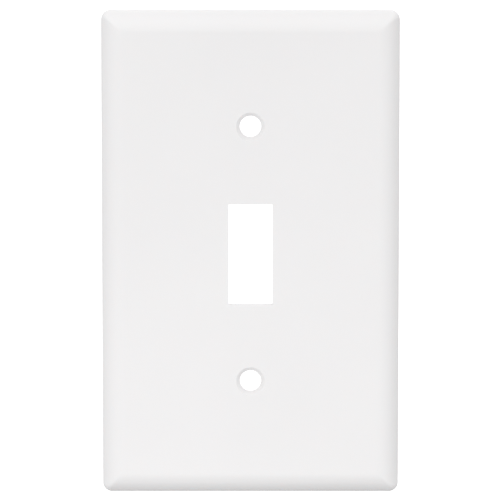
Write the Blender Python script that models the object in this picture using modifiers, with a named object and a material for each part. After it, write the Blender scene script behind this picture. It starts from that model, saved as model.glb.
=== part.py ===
"""Standard-size one-gang wall plate for a toggle switch, moulded in one piece.

Frame, in metres: +Z points up as the plate hangs on the wall, the front face looks towards -Y and the wall
plane is y = 0, so the plate reaches from y = -DEPTH to y = 0. The origin is the centre of the plate's outline
on the wall plane, which is also the centre of the switch behind it.
"""
import bpy
import bmesh
from math import acos, asin, atan2, cos, pi, radians, sin, tan

# Driving dimensions.
INCH = 0.0254
WIDTH = 2.75 * INCH                # outline, left to right
HEIGHT = 4.5 * INCH                # outline, top to bottom
DEPTH = 0.0056                     # wall plane to front face
WALL = 0.0020                      # thickness of the face and of the rim wall
CORNER_RADIUS = 0.0022             # outline's corners
HOLLOW_CORNER_RADIUS = 0.0006      # the hollow's corners, at the least

ROLL_WIDTH = 0.0039                # border between the flat face and the edge, seen from the front
ROLL_DEPTH = 0.0030                # how far the border falls back over that width
CREASE_ANGLE = radians(12.0)       # slope of the border where it leaves the flat face
ROLL_STEPS = 10

TOGGLE_WIDTH = 0.406 * INCH        # opening for the toggle
TOGGLE_HEIGHT = 0.937 * INCH
COLLAR_GAP = 0.0010                # the collar behind the toggle opening stands back from its edge
COLLAR_WALL = 0.0014
COLLAR_BACK = 0.0015               # the collar ends this far short of the wall plane

SCREW_SPACING = 2.375 * INCH       # centre to centre
SCREW_HOLE_RADIUS = 0.0025         # clearance hole for a 6-32 screw
COUNTERSINK_RADIUS = 0.00335       # at the face
COUNTERSINK_ANGLE = radians(82.0)  # included angle of the cone
BOSS_RADIUS = 0.0048               # boss behind each screw hole
BOSS_BORE_RADIUS = 0.0032
BOSS_BACK = 0.0017                 # the bosses end this far short of the wall plane

RIB_THICKNESS = 0.0012
RIB_BACK = 0.0021                  # the ribs end this far short of the wall plane
SPINE_OFFSET = 0.0036              # the two upright ribs, from the centre line

OVERLAP = 0.0010                   # how far joined solids reach into each other, and cutters out
THROUGH = 4 * DEPTH                # length of a cutter that passes right through, centred on the wall plane
WELD_DISTANCE = 1e-6
ROUND_SEGMENTS = 48
CORNER_SEGMENTS = 8
ENDS = ((1, "upper"), (-1, "lower"))
HANDS = ((-1, "left"), (1, "right"))


def clear_scene():
    for obj in list(bpy.data.objects):
        bpy.data.objects.remove(obj, do_unlink=True)


def new_collection(name):
    collection = bpy.data.collections.new(name)
    bpy.context.scene.collection.children.link(collection)
    return collection


def place(obj, collection):
    """Put an object in one collection only."""
    for other in list(obj.users_collection):
        other.objects.unlink(obj)
    collection.objects.link(obj)
    return obj


def outline_solid(name, points, thickness, rotation, collection):
    """A flat outline, filled and extruded both ways from its plane, as a welded mesh."""
    curve = bpy.data.curves.new(name, "CURVE")
    curve.dimensions = "2D"
    curve.fill_mode = "BOTH"
    curve.extrude = thickness / 2
    spline = curve.splines.new("POLY")
    spline.points.add(len(points) - 1)
    for point, (x, y) in zip(spline.points, points):
        point.co = (x, y, 0, 1)
    spline.use_cyclic_u = True
    guide = bpy.data.objects.new(name + "_outline", curve)
    guide.rotation_euler = rotation
    collection.objects.link(guide)
    bpy.context.view_layer.update()

    evaluated = guide.evaluated_get(bpy.context.evaluated_depsgraph_get())
    mesh = bpy.data.meshes.new_from_object(evaluated)
    mesh.name = name
    weld = bmesh.new()
    weld.from_mesh(mesh)
    bmesh.ops.remove_doubles(weld, verts=weld.verts, dist=WELD_DISTANCE)
    bmesh.ops.recalc_face_normals(weld, faces=weld.faces)
    weld.to_mesh(mesh)
    weld.free()

    solid = bpy.data.objects.new(name, mesh)
    solid.matrix_world = guide.matrix_world
    collection.objects.link(solid)
    bpy.data.objects.remove(guide, do_unlink=True)
    return solid


def combine(target, other, operation):
    modifier = target.modifiers.new(operation.lower() + "_" + other.name, "BOOLEAN")
    modifier.operation = operation
    modifier.solver = "EXACT"
    modifier.object = other
    other.hide_render = True
    other.display_type = "WIRE"


def arch_section(half_width, inset, back):
    """Cross-section of the plate's outer form, moved inwards by inset, from y = back to the face.

    The border is an arc. It leaves the flat face at CREASE_ANGLE and falls by ROLL_DEPTH over ROLL_WIDTH, so
    its chord's slope is the mean of its first and last slopes. The inset form keeps the arc's centre.
    """
    last_slope = 2 * atan2(ROLL_DEPTH, ROLL_WIDTH) - CREASE_ANGLE
    radius = ROLL_WIDTH / (sin(last_slope) - sin(CREASE_ANGLE))
    centre_x = half_width - ROLL_WIDTH - radius * sin(CREASE_ANGLE)
    centre_y = -DEPTH + radius * cos(CREASE_ANGLE)

    arc = radius - inset
    start = acos((centre_y + DEPTH - inset) / arc)
    end = asin((half_width - inset - centre_x) / arc)
    angles = [start + (end - start) * step / ROLL_STEPS for step in range(ROLL_STEPS + 1)]
    right = [(centre_x + arc * sin(angle), centre_y - arc * cos(angle)) for angle in angles]
    right.append((half_width - inset, back))
    left = [(-x, y) for x, y in reversed(right)]
    return right + left


def rounded_rectangle(half_width, half_height, radius):
    points = []
    corners = [(1, 1, 0), (-1, 1, 90), (-1, -1, 180), (1, -1, 270)]
    for side_x, side_y, first in corners:
        for step in range(CORNER_SEGMENTS + 1):
            angle = radians(first + 90 * step / CORNER_SEGMENTS)
            x = side_x * (half_width - radius) + radius * cos(angle)
            y = side_y * (half_height - radius) + radius * sin(angle)
            points.append((x, y))
    return points


def plate_form(name, inset, back, collection, cutters):
    """Outer form of the plate, moved inwards by inset and open to y = back.

    Two cross-sections, one along each side, meet in the mitred corners, and the outline rounds those off.
    """
    section = arch_section(WIDTH / 2, inset, back)
    across = outline_solid(name, section, HEIGHT + 2 * OVERLAP, (0, 0, 0), collection)
    section = arch_section(HEIGHT / 2, inset, back)
    along = outline_solid(name + "_along", section, WIDTH + 2 * OVERLAP, (0, -pi / 2, 0), cutters)
    corner = max(CORNER_RADIUS - inset, HOLLOW_CORNER_RADIUS)
    corners = rounded_rectangle(WIDTH / 2 - inset, HEIGHT / 2 - inset, corner)
    outline = outline_solid(name + "_corners", corners, THROUGH, (pi / 2, 0, 0), cutters)
    combine(across, along, "INTERSECT")
    combine(across, outline, "INTERSECT")
    return across


def box(name, size, centre, cutters):
    bpy.ops.mesh.primitive_cube_add(size=1, location=centre)
    obj = bpy.context.object
    obj.name = name
    obj.scale = size
    bpy.ops.object.transform_apply(location=False, rotation=False, scale=True)
    return place(obj, cutters)


def raised_box(name, width, height, x, z, back, cutters):
    """A box that stands on the inside of the face and ends at y = -back."""
    front = -DEPTH + WALL - OVERLAP
    size = (width, -back - front, height)
    return box(name, size, (x, (front - back) / 2, z), cutters)


def cylinder(name, radius, start, end, z, cutters):
    """A cylinder from y = start to y = end, on the plate's centre line."""
    bpy.ops.mesh.primitive_cylinder_add(
        vertices=ROUND_SEGMENTS,
        radius=radius,
        depth=end - start,
        location=(0, (start + end) / 2, z),
        rotation=(pi / 2, 0, 0),
    )
    obj = bpy.context.object
    obj.name = name
    return place(obj, cutters)


def countersunk_hole(name, z, cutters):
    """A turned cutter: cone at the face, then the clearance hole. Its own +Z points out of the face."""
    slope = tan(COUNTERSINK_ANGLE / 2)
    cone_depth = (COUNTERSINK_RADIUS - SCREW_HOLE_RADIUS) / slope
    profile = [
        (0, OVERLAP),
        (COUNTERSINK_RADIUS + OVERLAP * slope, OVERLAP),
        (SCREW_HOLE_RADIUS, -cone_depth),
        (SCREW_HOLE_RADIUS, -DEPTH),
        (0, -DEPTH),
    ]
    mesh = bpy.data.meshes.new(name)
    edges = [(index, index + 1) for index in range(len(profile) - 1)]
    mesh.from_pydata([(x, 0, height) for x, height in profile], edges, [])
    obj = bpy.data.objects.new(name, mesh)
    obj.location = (0, -DEPTH, z)
    obj.rotation_euler = (pi / 2, 0, 0)
    cutters.objects.link(obj)
    screw = obj.modifiers.new("turn", "SCREW")
    screw.angle = 2 * pi
    screw.steps = ROUND_SEGMENTS
    screw.render_steps = ROUND_SEGMENTS
    screw.use_merge_vertices = True
    screw.merge_threshold = WELD_DISTANCE
    return obj


def white_plastic():
    material = bpy.data.materials.new("white_gloss_plastic")
    material.use_nodes = True
    shader = material.node_tree.nodes["Principled BSDF"]
    shader.inputs["Base Color"].default_value = (0.86, 0.85, 0.845, 1)
    shader.inputs["Roughness"].default_value = 0.28
    shader.inputs["Metallic"].default_value = 0
    return material


def inner_structure(cutters):
    """Collar, bosses and ribs behind the face, trimmed so that they stay inside the plate's skin."""
    front = -DEPTH + WALL - OVERLAP
    bore_width = TOGGLE_WIDTH + 2 * COLLAR_GAP
    bore_height = TOGGLE_HEIGHT + 2 * COLLAR_GAP
    collar_width = bore_width + 2 * COLLAR_WALL
    collar_height = bore_height + 2 * COLLAR_WALL
    structure = raised_box("structure", collar_width, collar_height, 0, 0, COLLAR_BACK, cutters)

    spine_start = collar_height / 2 - OVERLAP
    spine_end = HEIGHT / 2
    cross_start = collar_width / 2 - OVERLAP
    cross_end = WIDTH / 2
    for side, end in ENDS:
        boss = cylinder(end + "_boss", BOSS_RADIUS, front, -BOSS_BACK, side * SCREW_SPACING / 2, cutters)
        combine(structure, boss, "UNION")
        for hand, name in HANDS:
            spine = raised_box(
                f"{end}_{name}_spine",
                RIB_THICKNESS,
                spine_end - spine_start,
                hand * SPINE_OFFSET,
                side * (spine_start + spine_end) / 2,
                RIB_BACK,
                cutters,
            )
            combine(structure, spine, "UNION")
            cross = raised_box(
                f"{end}_{name}_cross_rib",
                cross_end - cross_start,
                RIB_THICKNESS,
                hand * (cross_start + cross_end) / 2,
                side * (collar_height / 2 - RIB_THICKNESS),
                RIB_BACK,
                cutters,
            )
            combine(structure, cross, "UNION")

    collar_bore = box("collar_bore", (bore_width, THROUGH, bore_height), (0, 0, 0), cutters)
    combine(structure, collar_bore, "DIFFERENCE")
    for side, end in ENDS:
        z = side * SCREW_SPACING / 2
        bore = cylinder(end + "_boss_bore", BOSS_BORE_RADIUS, -THROUGH / 2, THROUGH / 2, z, cutters)
        combine(structure, bore, "DIFFERENCE")

    combine(structure, plate_form("skin_limit", OVERLAP, 0, cutters, cutters), "INTERSECT")
    return structure


def wall_plate(parts, cutters):
    plate = plate_form("wall_plate", 0, 0, parts, cutters)
    combine(plate, plate_form("hollow", WALL, OVERLAP, cutters, cutters), "DIFFERENCE")
    combine(plate, inner_structure(cutters), "UNION")

    toggle = box("toggle_opening", (TOGGLE_WIDTH, THROUGH, TOGGLE_HEIGHT), (0, 0, 0), cutters)
    combine(plate, toggle, "DIFFERENCE")
    for side, end in ENDS:
        hole = countersunk_hole(end + "_screw_hole", side * SCREW_SPACING / 2, cutters)
        combine(plate, hole, "DIFFERENCE")

    plate.data.materials.append(white_plastic())
    return plate


def main():
    clear_scene()
    parts = new_collection("toggle_wall_plate")
    cutters = new_collection("cutters")
    wall_plate(parts, cutters)


main()
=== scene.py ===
"""Looks of the white toggle-switch wall plate: its moulded surface, material, lights, floor and camera.

The frame is the CAD's: metres, +Z up, the front face towards -Y, the wall plane at y = 0.
"""
import bmesh
import bpy
from math import acos, asin, atan2, cos, exp, pi, radians, sin, tan
from mathutils import Matrix, Vector


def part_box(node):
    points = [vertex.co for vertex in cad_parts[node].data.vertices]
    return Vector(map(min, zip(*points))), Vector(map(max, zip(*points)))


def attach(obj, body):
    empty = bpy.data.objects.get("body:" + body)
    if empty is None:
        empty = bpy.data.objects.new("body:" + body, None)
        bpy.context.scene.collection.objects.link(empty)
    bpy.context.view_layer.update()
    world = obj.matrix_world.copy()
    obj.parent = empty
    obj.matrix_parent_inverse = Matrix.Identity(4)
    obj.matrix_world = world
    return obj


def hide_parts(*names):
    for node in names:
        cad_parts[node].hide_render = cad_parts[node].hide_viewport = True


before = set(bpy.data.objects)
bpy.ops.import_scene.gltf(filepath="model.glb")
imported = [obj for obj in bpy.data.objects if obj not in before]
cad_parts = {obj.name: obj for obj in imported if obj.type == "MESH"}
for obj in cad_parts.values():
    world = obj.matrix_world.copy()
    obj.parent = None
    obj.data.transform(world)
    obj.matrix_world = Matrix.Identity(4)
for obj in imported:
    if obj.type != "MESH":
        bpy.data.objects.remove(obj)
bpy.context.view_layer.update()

MM = 0.001
INCH = 25.4 * MM
low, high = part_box("wall_plate")
HALF_WIDTH = (high.x - low.x) / 2
HALF_HEIGHT = (high.z - low.z) / 2
FACE = low.y                       # the flat front face
WALL_PLANE = high.y                # the rim's back face

# The moulding's dimensions, as in the CAD.
WALL = 2.0 * MM
SKIN_BACK = FACE + WALL            # the inside of the face
CORNER_RADIUS = 2.2 * MM
ROLL_WIDTH = 3.9 * MM
ROLL_DEPTH = 3.0 * MM
CREASE_ANGLE = radians(12)
TOGGLE_WIDTH = 0.406 * INCH
TOGGLE_HEIGHT = 0.937 * INCH
COLLAR_GAP = 1.0 * MM              # the collar stands back from the toggle opening's edge
COLLAR_WALL = 1.4 * MM
COLLAR_END = WALL_PLANE - 1.5 * MM
SCREW_HEIGHT = 2.375 * INCH / 2    # of each screw hole, above or below the centre
SCREW_HOLE_RADIUS = 2.5 * MM
COUNTERSINK_RADIUS = 3.35 * MM
COUNTERSINK_ANGLE = radians(82)
BOSS_RADIUS = 4.8 * MM
BOSS_BORE_RADIUS = 3.2 * MM
BOSS_END = WALL_PLANE - 1.7 * MM
RIB_THICKNESS = 1.2 * MM
RIB_END = WALL_PLANE - 2.1 * MM
SPINE_OFFSET = 3.6 * MM            # the two upright ribs, from the centre line

# Fine details that the CAD leaves out.
CREASE_BLEND = 4.5 * MM            # radius between the flat face and the border
SIDE_BLEND = 0.9 * MM              # radius between the border and the side
RIM_EDGE = 0.25 * MM               # rounding of the rim's two back edges
HOLLOW_BLEND = 0.5 * MM            # radii inside the hollow
HOLLOW_CORNER = 0.6 * MM
MITRE_RADIUS = 0.35 * MM           # rounding across the border's mitred corners
MITRE_FADE = 0.9 * MM              # how fast the outline's corner sharpens into the mitre
TOGGLE_CORNER = 0.15 * MM
TOGGLE_LIP = 0.04 * MM             # rounding of the toggle opening's edges
HOLE_LIP = 0.08 * MM
STRUCTURE_EDGE = 0.2 * MM          # rounding of the free edges of ribs, bosses and collar
COLLAR_CORNER = 0.5 * MM
RIB_CORNER = 0.3 * MM
STRUCTURE_DRAFT = radians(1.5)
STRUCTURE_FILLET = 0.3 * MM        # where they stand on the inside of the face
EMBED = 0.3 * MM                   # how far they reach into the face
RIB_REACH = 1.6 * MM               # the ribs stop this far inside the outline
EJECTOR_RADIUS = 2.0 * MM
EJECTOR_DEPTH = 0.08 * MM
EJECTOR_INSET = (12.0 * MM, 13.0 * MM)   # of the corner ejector marks, from the outline
GATE_RADIUS = 0.7 * MM
GATE_HEIGHT = 0.35 * MM
GATE_EDGE = GATE_HEIGHT / 3        # rounding of its free edge
GATE_DROP = 20.0 * MM              # below the plate's centre

# How finely each arc is divided.
CREASE_STEPS = 5
ROLL_STEPS = 22
SIDE_STEPS = 8
RIM_STEPS = 6
HOLLOW_CORNER_STEPS = 6
HOLLOW_ROLL_STEPS = 12
HOLLOW_CREASE_STEPS = 4
LIP_STEPS = 6
POST_STEPS = 4
CORNER_STEPS = 12

# How the mesh is made.
SUPPORT = 6.0 * MM                 # from the outline's ends to the extra points on its straight sides
SMALLEST_RADIUS = 0.02 * MM        # of a section's corners
FLARE = Vector((0.6, 0.05)) * MM   # how a cutter spreads beyond a face, sideways and outwards
CLEARANCE = 0.5 * MM               # how far in front of the face a cutter starts
WELD_DISTANCE = 1e-7
SHARP_ANGLE = radians(35)          # an edge that turns more than this stays sharp
NORMAL_WEIGHT = 100                # how far large faces decide the shading

# The outline's sides as (x, z) directions, outward and then along, each after the corner where it begins.
SIDES = (
    ((0, 1), (-1, 0)),
    ((-1, 0), (0, -1)),
    ((0, -1), (1, 0)),
    ((1, 0), (0, 1)),
)

# The plastic.
DARKER_WHITE = (0.856, 0.848, 0.851, 1)
LIGHTER_WHITE = (0.870, 0.862, 0.865, 1)
TONE_RANGE = (0.3, 0.7)            # of the noise, between the two whites
ROUGHNESS = (0.27, 0.34)
INSIDE_DULLING = 0.2               # added to the roughness inside
TONE_NOISE = (28, 3)               # scale and detail
GLOSS_NOISE = (90, 4)
PEEL_NOISE = (900, 2)
SPARK_NOISE = (3500, 2)
RELIEF_STRENGTH = 0.06
RELIEF_DEPTH = 0.05 * MM

# How strongly the white surroundings light the object from each side. Each side fades out towards the next.
SURROUNDINGS = (
    ((0, -1, 0), 0.70),
    ((0, 1, 0), 0.45),
    ((-1, 0, 0), 0.52),
    ((1, 0, 0), 0.43),
    ((0, 0, 1), 0.87),
    ((0, 0, -1), 0.105),
)
BACKGROUND = 1.05                  # what the camera sees of them
FLOOR_SIZE = 12
FLOOR_DROP = 0.3                   # below the plate

CAMERA_DISTANCE = 1.1
CAMERA_ELEVATION = radians(8.6)
FRAME_SIZE = 117.5 * MM            # what the picture's side covers at the plate
AIM = Vector((-0.11, 0, 0.71)) * MM   # from the plate's centre to the picture's centre


class Path:
    """A path of arcs and straight runs in the plane of (inset from the outline, y).

    Heading 0 runs outwards along the front face, and a quarter turn runs back along the side.
    """

    def __init__(self, inset, y, heading=0.0):
        self.points = [(inset, y)]
        self.heading = heading

    def turn(self, radius, angle, steps):
        """Adds an arc, as chords between points on it."""
        part = angle / steps
        chord = 2 * radius * sin(abs(part) / 2)
        for _ in range(steps):
            inset, y = self.points[-1]
            along = self.heading + part / 2
            self.points.append((inset - chord * cos(along), y + chord * sin(along)))
            self.heading += part

    def run_to_y(self, y):
        """Adds a straight run at the same inset."""
        self.points.append((self.points[-1][0], y))


def roll_arc(inset):
    """Radius, first and last slope of the border's arc, on the plate's form moved inwards by inset."""
    last_slope = 2 * atan2(ROLL_DEPTH, ROLL_WIDTH) - CREASE_ANGLE
    radius = ROLL_WIDTH / (sin(last_slope) - sin(CREASE_ANGLE))
    arc = radius - inset
    across = ROLL_WIDTH + radius * sin(CREASE_ANGLE)
    return arc, acos((radius * cos(CREASE_ANGLE) - inset) / arc), asin((across - inset) / arc)


def front_path():
    """From the flat face over the border and along the side to the rim's back face."""
    arc, first, last = roll_arc(0)
    path = Path(0, FACE)
    path.turn(CREASE_BLEND, first, CREASE_STEPS)
    path.turn(arc, last - first, ROLL_STEPS)
    path.turn(SIDE_BLEND, pi / 2 - last, SIDE_STEPS)
    width = -path.points[-1][0]
    path.points = [(inset + width, y) for inset, y in path.points]
    path.run_to_y(WALL_PLANE - RIM_EDGE)
    path.turn(RIM_EDGE, pi / 2, RIM_STEPS)
    return path.points


def back_path():
    """From the rim's back face down the hollow's wall to the inside of the face."""
    path = Path(WALL - RIM_EDGE, WALL_PLANE, pi)
    path.turn(RIM_EDGE, pi / 2, RIM_STEPS)
    arc, first, last = roll_arc(WALL)
    hollow = Path(WALL, 0, 3 * pi / 2)
    hollow.turn(HOLLOW_BLEND, last - pi / 2, HOLLOW_CORNER_STEPS)
    hollow.turn(arc, first - last, HOLLOW_ROLL_STEPS)
    hollow.turn(HOLLOW_BLEND, -first, HOLLOW_CREASE_STEPS)
    lift = SKIN_BACK - hollow.points[-1][1]
    return path.points + [(inset, y + lift) for inset, y in hollow.points]


def rounded(corners, radius):
    """A path through corners, given as (across, y), with every inner corner rounded to the radius."""
    points = [corners[0]]
    for before, corner, after in zip(corners, corners[1:], corners[2:]):
        here = Vector(corner)
        back = (Vector(before) - here).normalized()
        ahead = (Vector(after) - here).normalized()
        half = back.angle(ahead) / 2
        centre = here + (back + ahead).normalized() * radius / sin(half)
        start = here + back * radius / tan(half) - centre
        end = here + ahead * radius / tan(half) - centre
        sweep = -start.angle_signed(end)
        for step in range(LIP_STEPS + 1):
            points.append(tuple(centre + Matrix.Rotation(sweep * step / LIP_STEPS, 2) @ start))
    points.append(corners[-1])
    return points


def ring(half_x, half_z, radius, y, centre=(0.0, 0.0), support=False):
    """A rounded rectangle at depth y, with fixed extra points on its straight sides if asked."""
    half = (half_x, half_z)
    reaches = (HALF_WIDTH - SUPPORT, HALF_HEIGHT - SUPPORT)
    points = []
    for index, (outward, along) in enumerate(SIDES):
        corner = [(o - a) * (h - radius) for o, a, h in zip(outward, along, half)]
        for step in range(CORNER_STEPS + 1):
            angle = (index + step / CORNER_STEPS) * pi / 2
            points.append((corner[0] + radius * cos(angle), corner[1] + radius * sin(angle)))
        if support:
            reach = reaches[0] if along[0] else reaches[1]
            for place in (-reach, 0, reach):
                points.append([o * h + a * place for o, a, h in zip(outward, along, half)])
    return [Vector((centre[0] + x, y, centre[1] + z)) for x, z in points]


def skin(mesh, rings):
    """A closed body through rings that follow one another, capped at both ends."""
    loops = [[mesh.verts.new(point) for point in points] for points in rings]
    for first, second in zip(loops, loops[1:]):
        for index in range(len(first)):
            after = (index + 1) % len(first)
            mesh.faces.new((first[index], first[after], second[after], second[index]))
    mesh.faces.new(loops[0])
    mesh.faces.new(loops[-1])


def swept(mesh, half_x, half_z, radius, path, centre=(0.0, 0.0)):
    """A body whose rounded-rectangle section grows by each path point's first value at its y."""
    rings = []
    for grow, y in path:
        corner = max(radius + grow, SMALLEST_RADIUS)
        rings.append(ring(half_x + grow, half_z + grow, corner, y, centre))
    skin(mesh, rings)


def finished(name, mesh):
    """The bmesh as an object, with outward normals and no doubled points."""
    bmesh.ops.remove_doubles(mesh, verts=mesh.verts, dist=WELD_DISTANCE)
    bmesh.ops.recalc_face_normals(mesh, faces=mesh.faces)
    data = bpy.data.meshes.new(name)
    mesh.to_mesh(data)
    mesh.free()
    obj = bpy.data.objects.new(name, data)
    bpy.context.scene.collection.objects.link(obj)
    return obj


def shell():
    """The face, border, side and rim as one closed body, with the hollow behind the face."""
    rings = []
    for inset, y in front_path():
        radius = MITRE_RADIUS + (CORNER_RADIUS - MITRE_RADIUS) * exp(-inset / MITRE_FADE)
        rings.append(ring(HALF_WIDTH - inset, HALF_HEIGHT - inset, radius, y, support=True))
    for inset, y in back_path():
        radius = max(CORNER_RADIUS - inset, HOLLOW_CORNER)
        rings.append(ring(HALF_WIDTH - inset, HALF_HEIGHT - inset, radius, y, support=True))
    mesh = bmesh.new()
    skin(mesh, rings)
    return finished("moulded_plate", mesh)


def post(mesh, half_x, half_z, radius, end, centre=(0.0, 0.0), edge=STRUCTURE_EDGE):
    """A drafted post on the inside of the face, filleted at its base and rounded at its free edge.

    A low post's fillet takes at most a third of its height.
    """
    fillet = min(STRUCTURE_FILLET, (end - SKIN_BACK) / 3)
    spread = (end - SKIN_BACK) * tan(STRUCTURE_DRAFT)
    turns = [pi / 2 * step / POST_STEPS for step in range(POST_STEPS + 1)]
    path = [(spread + fillet, SKIN_BACK - EMBED)]
    path += [(spread + fillet * (1 - sin(turn)), SKIN_BACK + fillet * (1 - cos(turn))) for turn in turns]
    path += [(edge * (cos(turn) - 1), end - edge * (1 - sin(turn))) for turn in turns]
    swept(mesh, half_x, half_z, radius, path, centre)


def structure():
    """Collar, bosses, ribs and the gate's vestige behind the face, and what is bored out of them."""
    mesh = bmesh.new()
    inner_x = TOGGLE_WIDTH / 2 + COLLAR_GAP
    inner_z = TOGGLE_HEIGHT / 2 + COLLAR_GAP
    outer_x = inner_x + COLLAR_WALL
    outer_z = inner_z + COLLAR_WALL
    post(mesh, outer_x, outer_z, COLLAR_CORNER + COLLAR_WALL, COLLAR_END)

    spine_ends = (outer_z - COLLAR_WALL / 2, HALF_HEIGHT - RIB_REACH)
    cross_ends = (outer_x - COLLAR_WALL / 2, HALF_WIDTH - RIB_REACH)
    cross_z = outer_z - RIB_THICKNESS
    half_rib = RIB_THICKNESS / 2
    for side in (1, -1):
        post(mesh, BOSS_RADIUS, BOSS_RADIUS, BOSS_RADIUS, BOSS_END, (0, side * SCREW_HEIGHT))
        for hand in (1, -1):
            half_length = (spine_ends[1] - spine_ends[0]) / 2
            middle = side * (spine_ends[0] + spine_ends[1]) / 2
            post(mesh, half_rib, half_length, RIB_CORNER, RIB_END, (hand * SPINE_OFFSET, middle))
            half_length = (cross_ends[1] - cross_ends[0]) / 2
            middle = hand * (cross_ends[0] + cross_ends[1]) / 2
            post(mesh, half_length, half_rib, RIB_CORNER, RIB_END, (middle, side * cross_z))
    gate = SKIN_BACK + GATE_HEIGHT
    post(mesh, GATE_RADIUS, GATE_RADIUS, GATE_RADIUS, gate, (0, -GATE_DROP), GATE_EDGE)
    solid = finished("structure", mesh)

    mesh = bmesh.new()
    start = FACE - CLEARANCE
    swept(mesh, inner_x, inner_z, COLLAR_CORNER, flared(start, COLLAR_END, STRUCTURE_EDGE))
    for side in (1, -1):
        bore = flared(start, BOSS_END, STRUCTURE_EDGE)
        swept(mesh, BOSS_BORE_RADIUS, BOSS_BORE_RADIUS, BOSS_BORE_RADIUS, bore, (0, side * SCREW_HEIGHT))
    bores = finished("bores", mesh)
    return solid, bores


def flared(start, end, lip):
    """A cutter's path from y = start that leaves a rounded edge at y = end."""
    return rounded([(0, start), (0, end), (FLARE.x, end + FLARE.y)], lip)


def openings():
    """What is cut out of the face: the toggle opening, the screw holes and the shallow ejector marks."""
    mesh = bmesh.new()
    inner_end = [(0, SKIN_BACK), (FLARE.x, SKIN_BACK + FLARE.y)]
    toggle = rounded([(FLARE.x, FACE - FLARE.y), (0, FACE)] + inner_end, TOGGLE_LIP)
    swept(mesh, TOGGLE_WIDTH / 2, TOGGLE_HEIGHT / 2, TOGGLE_CORNER, toggle)

    cone = COUNTERSINK_RADIUS - SCREW_HOLE_RADIUS
    cone_end = FACE + cone / tan(COUNTERSINK_ANGLE / 2)
    countersink = [(cone + FLARE.x, FACE - FLARE.y), (cone, FACE), (0, cone_end)]
    hole = rounded(countersink + inner_end, HOLE_LIP)
    radius = SCREW_HOLE_RADIUS
    for side in (1, -1):
        swept(mesh, radius, radius, radius, hole, (0, side * SCREW_HEIGHT))

    mark = [(0, SKIN_BACK - EJECTOR_DEPTH), (0, SKIN_BACK + EJECTOR_DEPTH)]
    for x in (-HALF_WIDTH + EJECTOR_INSET[0], HALF_WIDTH - EJECTOR_INSET[0]):
        for z in (-HALF_HEIGHT + EJECTOR_INSET[1], 0, HALF_HEIGHT - EJECTOR_INSET[1]):
            swept(mesh, EJECTOR_RADIUS, EJECTOR_RADIUS, EJECTOR_RADIUS, mark, (x, z))
    return finished("openings", mesh)


def combine(target, other, operation):
    """Adds the other object to the target, or cuts it away, with a boolean modifier."""
    modifier = target.modifiers.new(other.name, "BOOLEAN")
    modifier.operation = operation
    modifier.solver = "EXACT"
    modifier.use_self = True
    modifier.object = other


def moulded_plate():
    """The whole moulding as one smooth-shaded mesh."""
    plate = shell()
    inside, bores = structure()
    cuts = openings()
    combine(inside, bores, "DIFFERENCE")
    combine(plate, inside, "UNION")
    combine(plate, cuts, "DIFFERENCE")
    evaluated = plate.evaluated_get(bpy.context.evaluated_depsgraph_get())
    whole = bpy.data.meshes.new_from_object(evaluated)
    plate.modifiers.clear()
    plate.data = whole
    for helper in (inside, bores, cuts):
        bpy.data.objects.remove(helper, do_unlink=True)

    mark_inside(whole)
    whole.shade_smooth()
    whole.set_sharp_from_angle(angle=SHARP_ANGLE)
    weighted = plate.modifiers.new("even shading", "WEIGHTED_NORMAL")
    weighted.keep_sharp = True
    weighted.weight = NORMAL_WEIGHT
    return plate


def mark_inside(mesh):
    """A face attribute, "inside", that is 1 on everything behind the face and within the rim."""
    inside = mesh.attributes.new("inside", "FLOAT", "FACE")
    reach = WALL - RIM_EDGE / 2
    for polygon in mesh.polygons:
        x, y, z = polygon.center
        within = abs(x) < HALF_WIDTH - reach and abs(z) < HALF_HEIGHT - reach
        inside.data[polygon.index].value = float(within and y > SKIN_BACK - 2 * EJECTOR_DEPTH)


def noise(tree, place, scale, detail):
    """The value of a noise texture in the object's own space."""
    texture = tree.nodes.new("ShaderNodeTexNoise")
    texture.inputs["Scale"].default_value = scale
    texture.inputs["Detail"].default_value = detail
    tree.links.new(place.outputs["Object"], texture.inputs["Vector"])
    return texture.outputs["Fac"]


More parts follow.
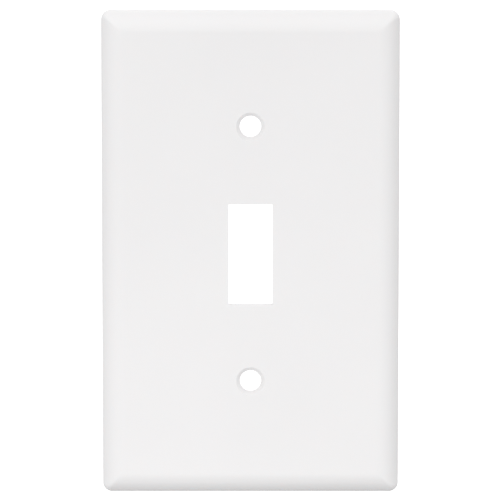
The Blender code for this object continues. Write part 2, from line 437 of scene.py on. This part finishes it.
def white_plastic():
    """White thermoplastic: glossy with a fine orange peel outside, duller and finely sparked inside."""
    material = bpy.data.materials.new("white_plastic")
    material.use_nodes = True
    tree = material.node_tree
    nodes = tree.nodes
    links = tree.links
    shader = nodes["Principled BSDF"]
    shader.inputs["IOR"].default_value = 1.5
    shader.inputs["Subsurface Weight"].default_value = 0.12
    shader.inputs["Subsurface Radius"].default_value = (1.0, 0.9, 0.85)
    shader.inputs["Subsurface Scale"].default_value = 1.2 * MM
    place = nodes.new("ShaderNodeTexCoord")

    tone = nodes.new("ShaderNodeValToRGB")
    for stop, position, white in zip(tone.color_ramp.elements, TONE_RANGE, (DARKER_WHITE, LIGHTER_WHITE)):
        stop.position = position
        stop.color = white
    links.new(noise(tree, place, *TONE_NOISE), tone.inputs["Fac"])
    links.new(tone.outputs["Color"], shader.inputs["Base Color"])

    outside = nodes.new("ShaderNodeMapRange")
    outside.inputs["To Min"].default_value = ROUGHNESS[0]
    outside.inputs["To Max"].default_value = ROUGHNESS[1]
    links.new(noise(tree, place, *GLOSS_NOISE), outside.inputs["Value"])
    inside = nodes.new("ShaderNodeAttribute")
    inside.attribute_name = "inside"
    dulling = nodes.new("ShaderNodeMath")
    dulling.operation = "MULTIPLY_ADD"
    dulling.inputs[1].default_value = INSIDE_DULLING
    links.new(inside.outputs["Fac"], dulling.inputs[0])
    links.new(outside.outputs["Result"], dulling.inputs[2])
    links.new(dulling.outputs["Value"], shader.inputs["Roughness"])

    relief = nodes.new("ShaderNodeMix")
    links.new(inside.outputs["Fac"], relief.inputs["Factor"])
    links.new(noise(tree, place, *PEEL_NOISE), relief.inputs["A"])
    links.new(noise(tree, place, *SPARK_NOISE), relief.inputs["B"])
    bump = nodes.new("ShaderNodeBump")
    bump.inputs["Strength"].default_value = RELIEF_STRENGTH
    bump.inputs["Distance"].default_value = RELIEF_DEPTH
    links.new(relief.outputs["Result"], bump.inputs["Height"])
    links.new(bump.outputs["Normal"], shader.inputs["Normal"])
    return material


def direction(azimuth, elevation):
    """Unit vector towards a place round the object: azimuth 0 is in front of the face, 90 at +X."""
    return Vector((sin(azimuth) * cos(elevation), -cos(azimuth) * cos(elevation), sin(elevation)))


def aim(obj, target):
    """Turns a light or camera towards a place."""
    obj.rotation_euler = (target - obj.location).to_track_quat("-Z", "Y").to_euler()


def softbox(name, azimuth, elevation, distance, size, power):
    """A rectangular light that faces the plate. It doesn't show in the picture or as a reflection."""
    light = bpy.data.lights.new(name, "AREA")
    light.shape = "RECTANGLE"
    light.size, light.size_y = size
    light.energy = power
    obj = bpy.data.objects.new(name, light)
    obj.location = direction(radians(azimuth), radians(elevation)) * distance
    aim(obj, Vector((0, 0, 0)))
    obj.visible_camera = False
    obj.visible_glossy = False
    bpy.context.scene.collection.objects.link(obj)


def studio():
    """White surroundings, like a light tent, a low light in front, like a pale table top, and a back light.

    The light from each of the surroundings' sides falls off with the cosine of the angle from it.
    """
    world = bpy.data.worlds.new("studio")
    bpy.context.scene.world = world
    world.use_nodes = True
    nodes = world.node_tree.nodes
    links = world.node_tree.links
    background = nodes["Background"]
    background.inputs["Color"].default_value = (1, 1, 1, 1)
    place = nodes.new("ShaderNodeTexCoord")
    ray = nodes.new("ShaderNodeLightPath")
    level = nodes.new("ShaderNodeMapRange")
    level.inputs["To Min"].default_value = 0
    level.inputs["To Max"].default_value = BACKGROUND
    total = level.inputs["To Min"]
    for side, strength in SURROUNDINGS:
        towards = nodes.new("ShaderNodeVectorMath")
        towards.operation = "DOT_PRODUCT"
        towards.inputs[1].default_value = Vector(side) * strength
        links.new(place.outputs["Generated"], towards.inputs[0])
        lit = nodes.new("ShaderNodeMath")
        lit.operation = "MAXIMUM"
        lit.inputs[1].default_value = 0
        links.new(towards.outputs["Value"], lit.inputs[0])
        gathered = nodes.new("ShaderNodeMath")
        gathered.operation = "ADD"
        gathered.inputs[1].default_value = 0
        links.new(lit.outputs["Value"], gathered.inputs[0])
        links.new(gathered.outputs["Value"], total)
        total = gathered.inputs[1]
    links.new(ray.outputs["Is Camera Ray"], level.inputs["Value"])
    links.new(level.outputs["Result"], background.inputs["Strength"])

    softbox("table", azimuth=-10, elevation=-24, distance=0.4, size=(0.3, 0.15), power=0.265)
    softbox("back_key", azimuth=164, elevation=28, distance=1.2, size=(0.6, 0.6), power=4.8)
    bpy.context.scene.view_settings.view_transform = "Standard"


def floor():
    """A pale floor well below the plate, which hangs free. Only the camera sees it: it adds no light."""
    material = bpy.data.materials.new("floor")
    material.use_nodes = True
    shader = material.node_tree.nodes["Principled BSDF"]
    shader.inputs["Base Color"].default_value = (0.9, 0.9, 0.9, 1)
    shader.inputs["Roughness"].default_value = 0.9
    shader.inputs["Emission Color"].default_value = (1, 1, 1, 1)
    shader.inputs["Emission Strength"].default_value = 0.5
    bpy.ops.mesh.primitive_plane_add(size=FLOOR_SIZE, location=(0, 0, low.z - FLOOR_DROP))
    plane = bpy.context.object
    plane.name = "floor"
    plane.data.materials.append(material)
    for kind in ("visible_diffuse", "visible_glossy", "visible_transmission", "visible_shadow"):
        setattr(plane, kind, False)


def camera():
    """A long-lens view from the front and a little above, as in the photograph."""
    data = bpy.data.cameras.new("camera")
    data.lens = data.sensor_width * CAMERA_DISTANCE / FRAME_SIZE
    obj = bpy.data.objects.new("camera", data)
    target = (low + high) / 2 + AIM
    obj.location = target + direction(0, CAMERA_ELEVATION) * CAMERA_DISTANCE
    aim(obj, target)
    bpy.context.scene.collection.objects.link(obj)
    bpy.context.scene.camera = obj


plate = moulded_plate()
plate.data.materials.clear()
plate.data.materials.append(white_plastic())
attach(plate, "root")
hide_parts("wall_plate")

studio()
floor()
camera()
